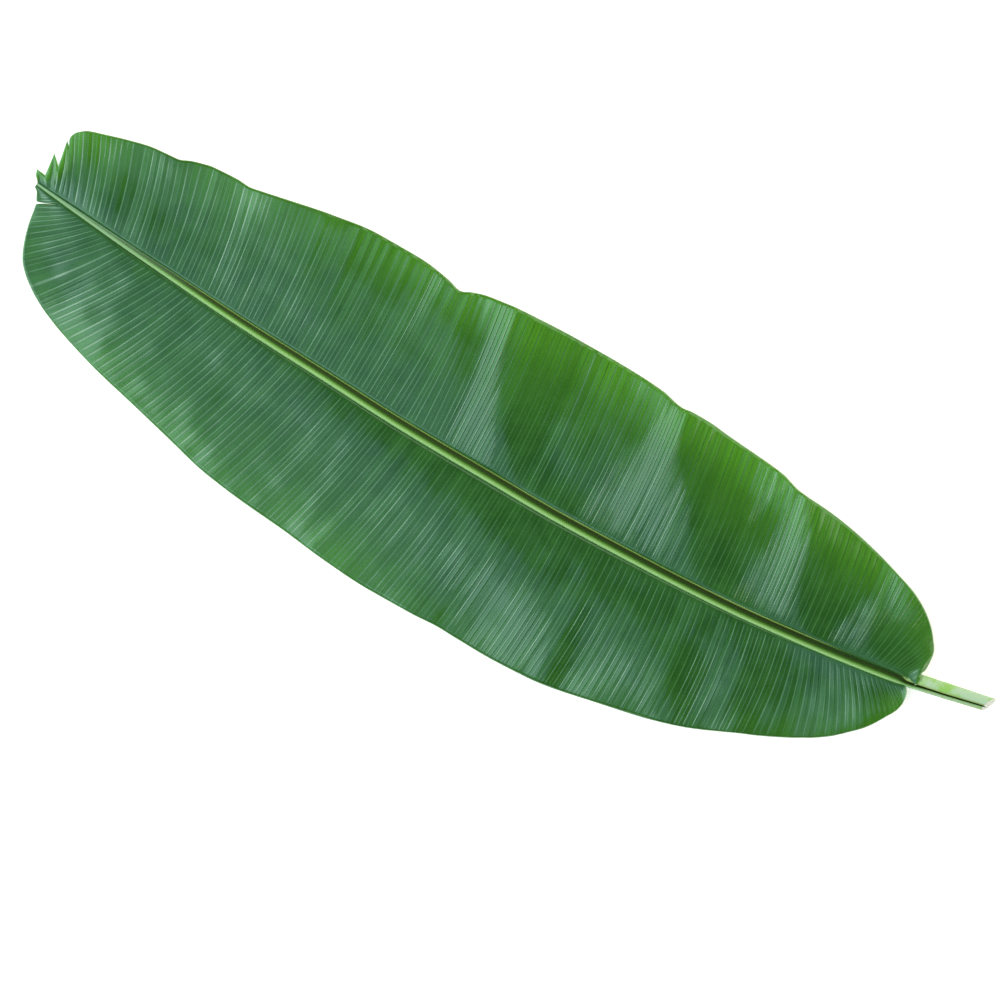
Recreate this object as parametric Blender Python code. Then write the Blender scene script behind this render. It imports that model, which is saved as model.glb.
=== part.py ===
# Banana leaf, cut from the plant with a short stub of its stalk, lying on its midrib.
# The leaf grew as one piece: stalk, midrib and both halves of the blade are one closed body.
# Sizes are in millimetres and are scaled to metres when the mesh is made.
# Origin: under the midrib, on the surface that the leaf lies on. +X to the tip, +Z up.
# Seen from above with the tip ahead, the left half of the blade is on +Y and the right half on -Y.

import math

import bmesh
import bpy
import numpy as np

MM = 0.001

# Blade
BLADE_THICKNESS = 0.8
PLEAT_HEIGHT = 0.6            # height of a side vein's ridge over the furrow beside it
VEIN_SPACING = 7.8            # from a ridge to the next furrow, measured along the midrib
VEIN_BOW = 3.0                # how far a side vein bows towards the stalk half way out
RELIEF_PLACES = (0.18, 0.42, 0.70)  # shares of the way out where the blade's height is given
ROWS_OUT = (0.10, 0.28, 0.52, 0.78, 1.0)
FULL_REACH = 100.0            # a vein this long has its whole bow, a shorter one has less
PLEAT_REACH = 40.0            # and one this long has a whole pleat
PLEAT_START = 6.0             # a pleat has its height at one part in this many of the way out
PLEAT_FADE = 0.5              # share of its height that a pleat loses by the edge

# Midrib and stalk
REST_WIDTH = 3.0              # worn strip under the midrib
RIM_LIP = 0.6                 # step from a rim of the channel to the underside of the blade
FOOT_ANGLE = math.radians(80)  # from level down to the worn strip, on the round underside
FOOT_GAP = math.radians(10)   # from straight down to the worn strip's edge
CUT_SKEW = 0.38               # the stalk's cut runs back by this much for each mm across it
CUT_SLOPE = 0.40              # and by this much for each mm of height
CUT_REACH = 45.0              # length of stalk over which the cut is taken up
CUT_LEVEL = 9.0               # height on the cut that keeps its place

# Places along the midrib where the outline turns sharply: stalk, base lobes and torn tip
STALK_STATIONS = (-619.5, -596.0, -576.0, -560.0, -548.0, -540.0)
BASE_STATIONS = (-530.0, -528.5, -527.0, -525.0, -522.5, -520.0, -516.0, -512.0, -507.5,
                 -503.0, -497.0, -491.0, -485.5)
TIP_STATIONS = (530.0, 536.0, 540.0, 545.0, 549.0, 553.0, 558.0, 563.0, 567.0, 571.0, 575.0)
REGULAR_FROM = -480.0
REGULAR_TO = 522.0

# Midrib seen from above: x, y
MIDRIB_LINE = ((-620, -41.0), (-535, -24.6), (-410, -9.2), (-310, -1.3), (-215, 1.8), (-110, 2.8),
               (-10, 0.2), (90, -3.2), (195, -9.9), (300, -16.6), (405, -25.6), (460, -30.5),
               (510, -35.4), (545, -39.0), (576, -42.5))

# Cross-section along the midrib:
# x, centre offset, half width, height, right rim, left rim (all from the midrib line), channel depth
SECTIONS = ((-620, -4.6, 9.2, 18.0, -1.0, 1.0, 10.0),
            (-560, -4.6, 9.3, 18.0, -1.3, 1.2, 10.0),
            (-530, -3.8, 9.5, 18.0, -1.4, 4.0, 9.0),
            (-520, -3.2, 9.5, 17.8, -5.0, 5.0, 9.0),
            (-505, -2.0, 9.5, 17.6, -6.0, 5.3, 9.0),
            (-300, -0.6, 9.0, 16.0, -6.0, 5.3, 8.0),
            (0, -0.3, 8.2, 13.0, -6.0, 5.3, 6.0),
            (240, 0.0, 7.0, 9.5, -5.4, 4.9, 4.0),
            (360, 0.0, 6.0, 7.0, -4.7, 4.4, 2.6),
            (460, 0.0, 4.6, 5.0, -3.7, 3.7, 1.6),
            (540, 0.0, 3.5, 3.4, -2.8, 2.8, 0.8),
            (576, 0.0, 2.5, 2.4, -1.9, 1.9, 0.4))

# Channel on top of the midrib, across from its right rim (0) to its left rim (1): place, depth
CHANNEL = ((0.0, 0.0), (0.10, 0.55), (0.22, 0.95), (0.38, 1.0), (0.58, 0.60), (0.80, 0.20), (1.0, 0.0))

# Height of the worn strip under the midrib: x, height. It is flat for a short way at the middle of the
# leaf and rises a little to both ends, so that the leaf stands on that spot and on two low points of the
# left edge and one of the right edge.
KEEL = ((-620, 1.2), (-420, 0.5), (-14, 0.02), (14, 0.02), (300, 0.5), (500, 0.7), (576, 0.5))

# Heights of the edge's underside where it waves. The blade touches the surface at only three places.
EDGE_CREST = 9.5
EDGE_SWELL = 6.5
EDGE_SAG = 4.5
EDGE_HOLLOW = 2.0

# Edge of the right half, from the stalk to the tip:
# where the vein leaves the midrib (x), where it ends (x, y)
RIGHT_EDGE = ((-530, -534.0, -29.5), (-528.5, -537.5, -33.5), (-527, -540.0, -38.5),
              (-525, -541.6, -45.0), (-522.5, -542.0, -53.0), (-520, -541.0, -64.5),
              (-512, -533.0, -79.5), (-503, -523.0, -91.5), (-491, -507.0, -104.5),
              (-480, -489.0, -114.5), (-465, -467.0, -122.5), (-443, -435.0, -133.0),
              (-409.5, -394.3, -142.9), (-382, -363.0, -147.8), (-352, -334.0, -150.2),
              (-343, -324.0, -151.6), (-320, -300.0, -159.0), (-283, -268.0, -163.2),
              (-262, -247.0, -165.2), (-240, -224.0, -167.6), (-215, -201.0, -170.2),
              (-190, -180.0, -170.6), (-180, -169.0, -169.4), (-150, -140.0, -175.4),
              (-118, -106.0, -178.4), (-96.4, -83.1, -179.4), (-85, -71.0, -179.8), (-35, -22.0, -180.2),
              (14, 24.0, -178.8), (36, 48.0, -177.6), (43, 55.0, -176.8), (66, 82.0, -173.4),
              (92, 97.0, -169.0), (110, 109.5, -164.2), (128, 127.0, -169.0), (163, 165.0, -174.8),
              (216.7, 221.0, -175.8), (263, 273.0, -169.8), (312, 328.0, -159.7), (335, 353.0, -155.0),
              (348, 369.0, -152.6), (362, 383.0, -153.8), (395, 413.0, -152.7), (411, 437.0, -147.2),
              (425, 452.0, -141.6), (440, 467.0, -140.7), (458, 483.0, -139.4), (479, 508.0, -134.1),
              (506, 537.0, -126.0), (522, 553.5, -120.8), (530, 561.0, -115.8), (536, 565.5, -111.0),
              (540, 567.4, -104.6), (545, 563.6, -95.6), (549, 568.8, -100.9), (553, 563.6, -70.8),
              (558, 574.4, -81.6), (563, 571.6, -55.2), (567, 582.8, -57.0), (571, 581.0, -50.8),
              (575, 576.6, -45.8))
# Waves of that edge: where the vein leaves the midrib (x), height of the underside at its end
RIGHT_WAVES = ((-530, 18.0), (-527, 17.5), (-520, 10.5), (-512, 8.0), (-480, EDGE_CREST),
               (-440, EDGE_HOLLOW), (-400, EDGE_HOLLOW), (-350, EDGE_CREST), (-325, EDGE_SWELL),
               (-250, EDGE_HOLLOW), (-182, EDGE_SWELL), (-96.4, 0.0), (-30, EDGE_HOLLOW),
               (38, EDGE_CREST), (75, EDGE_SAG), (108, EDGE_SWELL), (165, EDGE_HOLLOW),
               (250, EDGE_HOLLOW), (315, EDGE_SWELL), (370, EDGE_HOLLOW), (470, EDGE_HOLLOW), (506, 3.5),
               (530, 5.5), (540, 5.0), (545, 4.0), (549, 5.0), (553, 4.0), (558, 5.0), (563, 3.5),
               (567, 4.5), (571, 3.5), (575, 1.5))

# Edge and waves of the left half, in the same way
LEFT_EDGE = ((-530, -531.8, -18.0), (-527, -535.4, -13.0), (-522.5, -537.0, -6.5), (-516, -537.4, -1.0),
             (-510, -536.0, 6.8), (-495, -527.8, 22.0), (-482, -519.6, 35.2), (-473, -511.6, 45.2),
             (-463, -502.4, 54.2), (-447, -486.4, 68.8), (-433, -468.4, 81.0), (-425.2, -458.8, 86.2),
             (-417, -449.0, 91.6), (-395, -411.0, 109.0), (-382, -396.0, 114.8), (-362, -376.0, 123.4),
             (-345, -360.0, 130.4), (-325, -339.0, 138.4), (-305, -317.0, 145.0), (-283, -293.0, 151.2),
             (-234, -238.0, 161.8), (-200, -198.0, 169.6), (-184, -180.0, 172.2), (-165, -160.0, 174.0),
             (-120, -113.0, 175.2), (-80.8, -69.6, 173.7), (-60, -46.0, 172.5), (-35, -15.0, 173.6),
             (14, 40.0, 173.2), (64, 98.0, 168.4), (114, 153.0, 161.2), (163, 209.0, 155.2),
             (213, 262.0, 147.0), (263, 310.0, 134.4), (312, 365.0, 119.8), (362, 420.0, 105.6),
             (407, 478.0, 86.4), (420.2, 490.7, 81.0), (433, 502.4, 75.6), (455, 519.6, 65.6),
             (466, 538.6, 50.6), (482, 548.2, 39.2), (497, 556.2, 21.2), (516, 562.2, -1.0),
             (530, 564.3, -15.0), (536, 565.4, -22.2), (540, 545.0, -32.8), (545, 565.6, -25.4),
             (553, 568.6, -29.2), (563, 571.8, -35.2), (571, 575.2, -38.2), (575, 576.2, -39.4))
LEFT_WAVES = ((-530, 14.5), (-516, 11.5), (-480, EDGE_CREST), (-425.2, 0.0), (-370, EDGE_CREST),
              (-342, EDGE_SWELL), (-305, EDGE_CREST), (-280, EDGE_SWELL), (-235, EDGE_CREST),
              (-200, EDGE_SAG), (-182, EDGE_CREST), (-85, EDGE_SAG), (-32, EDGE_CREST), (20, EDGE_SWELL),
              (68, EDGE_CREST), (114, EDGE_SAG), (185, EDGE_SWELL), (263, EDGE_SAG), (345, EDGE_SAG),
              (420.2, 0.0), (468, EDGE_SAG), (497, EDGE_SAG), (520, EDGE_HOLLOW), (545, 1.0), (575, 1.0))

# Height of the blade's upper face where it swells and sinks along the leaf: a curve through x, height at
# each of the RELIEF_PLACES on the way out from the midrib
RIGHT_RELIEF = (((-530, 18.0), (-520, 17.0), (-503, 16.5), (-460, 15.5), (-430, 12.5), (-388, 16.0),
                 (-318, 9.5), (-240, 16.5), (-120, 8.5), (-60, 9.5), (-8, 16.0), (50, 12.0), (165, 9.5),
                 (235, 9.0), (310, 7.5), (370, 5.0), (460, 4.0), (510, 4.5), (545, 3.5), (575, 3.0)),
               ((-530, 18.5), (-525, 18.0), (-520, 15.5), (-503, 13.5), (-464, 13.0), (-440, 9.0),
                (-380, 14.0), (-328, 8.0), (-236, 16.5), (-130, 7.5), (-60, 8.5), (10, 16.5), (50, 11.5),
                (98, 10.5), (165, 9.0), (235, 10.5), (310, 7.0), (370, 2.5), (460, 2.0), (510, 4.0),
                (545, 4.0), (575, 3.5)),
               ((-530, 18.5), (-525, 17.5), (-520, 13.5), (-503, 11.0), (-488, 12.0), (-452, 8.0),
                (-375, 11.5), (-333, 7.0), (-300, 7.0), (-190, 11.5), (-150, 5.5), (-90, 5.5), (28, 11.5),
                (54, 8.0), (98, 9.5), (165, 7.5), (235, 7.0), (310, 4.0), (370, 2.0), (460, 1.5),
                (500, 2.5), (535, 5.0), (575, 4.5)))
LEFT_RELIEF = (((-530, 14.0), (-500, 14.0), (-425, 10.0), (-368, 15.0), (-280, 16.0), (-40, 17.0),
                (90, 14.5), (200, 11.0), (300, 8.5), (440, 6.0), (500, 4.0), (575, 2.0)),
               ((-530, 14.5), (-520, 13.0), (-485, 14.5), (-415, 9.0), (-350, 16.0), (-326, 15.0),
                (-265, 18.5), (-75, 19.5), (90, 14.5), (200, 9.5), (300, 8.0), (380, 8.0), (440, 6.5),
                (500, 4.5), (545, 2.5), (575, 2.0)),
               ((-530, 14.5), (-520, 13.0), (-485, 15.5), (-415, 7.5), (-350, 13.5), (-326, 12.0),
                (-280, 18.5), (-202, 13.5), (-170, 18.5), (-75, 11.5), (90, 11.5), (200, 9.5), (300, 8.5),
                (380, 7.0), (440, 5.0), (500, 4.0), (545, 2.0), (575, 1.5)))

RIGHT_HALF = (RIGHT_EDGE, RIGHT_WAVES, RIGHT_RELIEF)
LEFT_HALF = (LEFT_EDGE, LEFT_WAVES, LEFT_RELIEF)

LEAF_COLOUR = (0.055, 0.19, 0.045, 1.0)
LEAF_ROUGHNESS = 0.45
SHARP_ANGLE = math.radians(40)


def smooth_curve(points, x, column=1):
    # value at x of a smooth curve through the points, which never swings past them
    xs = [p[0] for p in points]
    ys = [p[column] for p in points]
    if x <= xs[0]:
        return float(ys[0])
    if x >= xs[-1]:
        return float(ys[-1])
    i = int(np.searchsorted(xs, x)) - 1
    slopes = [(ys[k + 1] - ys[k]) / (xs[k + 1] - xs[k]) for k in range(len(xs) - 1)]

    def tangent(k):
        if k == 0 or k == len(xs) - 1:
            return slopes[min(k, len(slopes) - 1)]
        before, after = slopes[k - 1], slopes[k]
        if before * after <= 0.0:
            return 0.0
        return 2.0 * before * after / (before + after)

    width = xs[i + 1] - xs[i]
    t = (x - xs[i]) / width
    start = ys[i] * (1 + 2 * t) * (1 - t) ** 2 + tangent(i) * width * t * (1 - t) ** 2
    end = ys[i + 1] * t * t * (3 - 2 * t) + tangent(i + 1) * width * t * t * (t - 1)
    return start + end


def stations():
    # every place along the midrib where the mesh has a row of points
    steps = round((REGULAR_TO - REGULAR_FROM) / VEIN_SPACING)
    regular = np.linspace(REGULAR_FROM, REGULAR_TO, steps + 1)
    return (*STALK_STATIONS, *BASE_STATIONS, *regular, *TIP_STATIONS)


def section(x):
    # cross-section of the midrib or stalk at x: rims, channel and the round underside
    line = smooth_curve(MIDRIB_LINE, x)
    offset, half_width, height, right, left, depth = (smooth_curve(SECTIONS, x, c) for c in range(1, 7))
    centre = line + offset
    half_height = height / 2
    keel = smooth_curve(KEEL, x)

    def on_round(angle):
        return (centre + half_width * math.cos(angle), half_height + half_height * math.sin(angle))

    def rim(place):
        return math.acos(max(-1.0, min(1.0, (line + place - centre) / half_width)))

    right_angle, left_angle = rim(right), rim(left)
    right_y, right_z = on_round(right_angle)
    left_y, left_z = on_round(left_angle)
    top = [(right_y + (left_y - right_y) * u, right_z + (left_z - right_z) * u - depth * d)
           for u, d in CHANNEL]

    right_step = (2 * math.pi - FOOT_ANGLE - FOOT_GAP - right_angle) / 3
    under = [(right_y - RIM_LIP, right_z - RIM_LIP),
             on_round(right_angle + right_step),
             on_round(right_angle + 2 * right_step),
             (centre - REST_WIDTH / 2, keel),
             (centre + REST_WIDTH / 2, keel),
             on_round((left_angle - FOOT_ANGLE) / 2),
             (left_y + RIM_LIP, left_z - RIM_LIP)]
    return top, under


def even_curve(places, heights, at):
    # height at a place on the curve that bends most evenly through the given heights
    steps = np.diff(places)
    slopes = np.diff(heights) / steps
    system = np.diag(2 * (steps[:-1] + steps[1:])) + np.diag(steps[1:-1], 1) + np.diag(steps[1:-1], -1)
    bends = np.concatenate(([0.0], np.linalg.solve(system, 6 * np.diff(slopes)), [0.0]))
    i = min(max(int(np.searchsorted(places, at)) - 1, 0), len(steps) - 1)
    before, after, step = at - places[i], places[i + 1] - at, steps[i]
    bent = bends[i] * (after ** 3 / step - after * step) + bends[i + 1] * (before ** 3 / step - before * step)
    return float((heights[i] * after + heights[i + 1] * before) / step + bent / 6)


def blade_point(half, root_x, root, out, ridge):
    # point of the blade's upper face, a share "out" of the way from the midrib to the edge
    edge, waves, relief = half
    root_y, root_z = root
    edge_x, edge_y = (smooth_curve(edge, root_x, c) for c in (1, 2))
    edge_z = smooth_curve(waves, root_x)
    reach = abs(edge_y - root_y)
    bow = VEIN_BOW * min(1.0, reach / FULL_REACH) * math.sin(math.pi * out)
    x = root_x + (edge_x - root_x) * out - bow
    y = root_y + (edge_y - root_y) * out
    heights = (root_z, *(smooth_curve(curve, root_x) for curve in relief), edge_z + BLADE_THICKNESS)
    z = even_curve((0.0, *RELIEF_PLACES, 1.0), heights, out)
    pleat = (ridge * PLEAT_HEIGHT * min(1.0, PLEAT_START * out) * (1.0 - PLEAT_FADE * out)
             * min(1.0, reach / PLEAT_REACH))
    return (x, y, z + pleat)


def cut_shift(x, y, z, first):
    # the stalk's slanting cut, taken up over a short length from its end
    share = max(0.0, 1.0 - (x - first) / CUT_REACH)
    centre = smooth_curve(MIDRIB_LINE, x)
    return share * (CUT_SKEW * (y - centre) + CUT_SLOPE * (z - CUT_LEVEL))


def leaf_points(columns):
    # upper and under point of each node of the grid, by (column, row)
    rows = len(ROWS_OUT)
    upper, under = {}, {}
    for i, x in enumerate(columns):
        top, bottom = section(x)
        for j, ((ty, tz), (by, bz)) in enumerate(zip(top, bottom)):
            upper[i, rows + j] = (x + cut_shift(x, ty, tz, columns[0]), ty, tz)
            under[i, rows + j] = (x + cut_shift(x, by, bz, columns[0]), by, bz)
        ridge = (i - len(STALK_STATIONS)) % 2
        for k, out in enumerate(ROWS_OUT):
            halves = ((RIGHT_HALF, top[0], rows - 1 - k, -1), (LEFT_HALF, top[-1], rows + len(top) + k, 1))
            for half, root, row, side in halves:
                px, py, pz = blade_point(half, x, root, out, ridge)
                step = RIM_LIP * (1 - out)
                upper[i, row] = (px, py, pz)
                under[i, row] = (px, py + side * step, pz - step - BLADE_THICKNESS * out)
    return upper, under


def close_cut(bm, place_column):
    # one flat face over the stalk's cut end, in place of the strips that bridge its channel
    strips = [f for f in bm.faces if all(v[place_column] == 0 for v in f.verts)]
    rim = {e for f in strips for e in f.edges if any(face not in strips for face in e.link_faces)}
    bmesh.ops.delete(bm, geom=strips, context="FACES_ONLY")
    inner = [e for e in bm.edges if not e.link_faces]
    bmesh.ops.delete(bm, geom=inner, context="EDGES")
    bmesh.ops.contextual_create(bm, geom=[e for e in rim if e.is_valid])


def build_leaf():
    columns = stations()
    rows_out = len(ROWS_OUT)
    last_row = 2 * rows_out + len(CHANNEL) - 1
    last_column = len(columns) - 1
    upper, under = leaf_points(columns)

    bm = bmesh.new()
    place_column = bm.verts.layers.int.new("column")
    place_row = bm.verts.layers.int.new("row")
    bmesh.ops.create_grid(bm, x_segments=last_column, y_segments=last_row, size=1.0)
    for v in bm.verts:
        v[place_column] = round((v.co.x + 1) / 2 * last_column)
        v[place_row] = round((v.co.y + 1) / 2 * last_row)

    # the stalk has no blade
    def beside_stalk(face):
        column = min(v[place_column] for v in face.verts)
        row = min(v[place_row] for v in face.verts)
        on_blade = row < rows_out or row >= rows_out + len(CHANNEL) - 1
        return column < len(STALK_STATIONS) and on_blade

    bmesh.ops.delete(bm, geom=[f for f in bm.faces if beside_stalk(f)], context="FACES")
    bmesh.ops.triangulate(bm, faces=bm.faces[:], quad_method="FIXED")

    # the upper face is a copy of the under face, joined to it all round the edge
    extruded = bmesh.ops.extrude_face_region(bm, geom=bm.faces[:], use_keep_orig=True)
    raised = {e for e in extruded["geom"] if isinstance(e, bmesh.types.BMVert)}
    close_cut(bm, place_column)
    for v in bm.verts:
        points = upper if v in raised else under
        x, y, z = points[v[place_column], v[place_row]]
        v.co = (x * MM, y * MM, z * MM)
    bm.normal_update()
    bmesh.ops.triangulate(bm, faces=[f for f in bm.faces if len(f.verts) > 3])
    bmesh.ops.recalc_face_normals(bm, faces=bm.faces[:])

    mesh = bpy.data.meshes.new("banana_leaf")
    bm.to_mesh(mesh)
    bm.free()
    mesh.shade_smooth()
    mesh.set_sharp_from_angle(angle=SHARP_ANGLE)
    leaf = bpy.data.objects.new("banana_leaf", mesh)
    bpy.context.scene.collection.objects.link(leaf)
    leaf.data.materials.append(leaf_green())
    return leaf


def leaf_green():
    material = bpy.data.materials.new("leaf_green")
    material.use_nodes = True
    shader = material.node_tree.nodes["Principled BSDF"]
    shader.inputs["Base Color"].default_value = LEAF_COLOUR
    shader.inputs["Roughness"].default_value = LEAF_ROUGHNESS
    shader.inputs["Metallic"].default_value = 0.0
    return material


for old in list(bpy.data.objects):
    bpy.data.objects.remove(old, do_unlink=True)
build_leaf()
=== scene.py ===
# Banana leaf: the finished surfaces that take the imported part's place
# Shapes are worked out in millimetres along the midrib (x), across it (y) and up (z).

import math

import bmesh
import bpy
import numpy as np
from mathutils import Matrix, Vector


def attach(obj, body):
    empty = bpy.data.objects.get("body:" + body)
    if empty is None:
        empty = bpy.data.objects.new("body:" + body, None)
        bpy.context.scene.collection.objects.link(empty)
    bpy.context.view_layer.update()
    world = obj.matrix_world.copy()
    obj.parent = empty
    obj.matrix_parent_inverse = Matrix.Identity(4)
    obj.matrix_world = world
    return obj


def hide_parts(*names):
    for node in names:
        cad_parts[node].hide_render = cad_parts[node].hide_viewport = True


mm = 0.001

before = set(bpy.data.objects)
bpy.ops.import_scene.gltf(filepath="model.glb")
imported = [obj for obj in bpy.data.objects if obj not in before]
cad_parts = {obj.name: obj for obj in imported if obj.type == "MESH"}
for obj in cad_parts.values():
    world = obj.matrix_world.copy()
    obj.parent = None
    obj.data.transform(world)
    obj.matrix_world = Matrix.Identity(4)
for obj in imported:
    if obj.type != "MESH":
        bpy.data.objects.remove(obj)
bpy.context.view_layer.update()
print("frame loaded")


# the leaf's form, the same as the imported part's but for the flap at the base of the right half

# levels of the blade's underside at its edge, in the waves between the points that it rests on
edgeCrest = 9.5
edgeSwell = 6.5
edgeSag = 4.5
edgeHollow = 2.0

leafForm = {
    "bladeThickness": 0.8,
    "veinBow": 3.0,             # a side vein bows this far towards the stalk half way out
    "fullReach": 100.0,         # a vein this long has its whole bow
    # midrib seen from above: x, y
    "midribLine": ((-620, -41.0), (-535, -24.6), (-410, -9.2), (-310, -1.3), (-215, 1.8), (-110, 2.8),
                   (-10, 0.2), (90, -3.2), (195, -9.9), (300, -16.6), (405, -25.6), (460, -30.5),
                   (510, -35.4), (545, -39.0), (576, -42.5)),
    # x, centre offset, half width, height, right rim, left rim, channel depth
    "sections": ((-620, -4.6, 9.2, 18.0, -1.0, 1.0, 10.0),
                 (-560, -4.6, 9.3, 18.0, -1.3, 1.2, 10.0),
                 (-530, -3.8, 9.5, 18.0, -1.4, 4.0, 9.0),
                 (-520, -3.2, 9.5, 17.8, -5.0, 5.0, 9.0),
                 (-505, -2.0, 9.5, 17.6, -6.0, 5.3, 9.0),
                 (-300, -0.6, 9.0, 16.0, -6.0, 5.3, 8.0),
                 (0, -0.3, 8.2, 13.0, -6.0, 5.3, 6.0),
                 (240, 0.0, 7.0, 9.5, -5.4, 4.9, 4.0),
                 (360, 0.0, 6.0, 7.0, -4.7, 4.4, 2.6),
                 (460, 0.0, 4.6, 5.0, -3.7, 3.7, 1.6),
                 (540, 0.0, 3.5, 3.4, -2.8, 2.8, 0.8),
                 (576, 0.0, 2.5, 2.4, -1.9, 1.9, 0.4)),
    # height of the midrib's underside: x, height
    "keel": ((-620, 1.2), (-420, 0.5), (-14, 0.02), (14, 0.02), (300, 0.5), (500, 0.7), (576, 0.5)),
    # shares of the way out from the midrib where the blade's height is given
    "reliefPlaces": (0.18, 0.42, 0.70),
}

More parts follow.
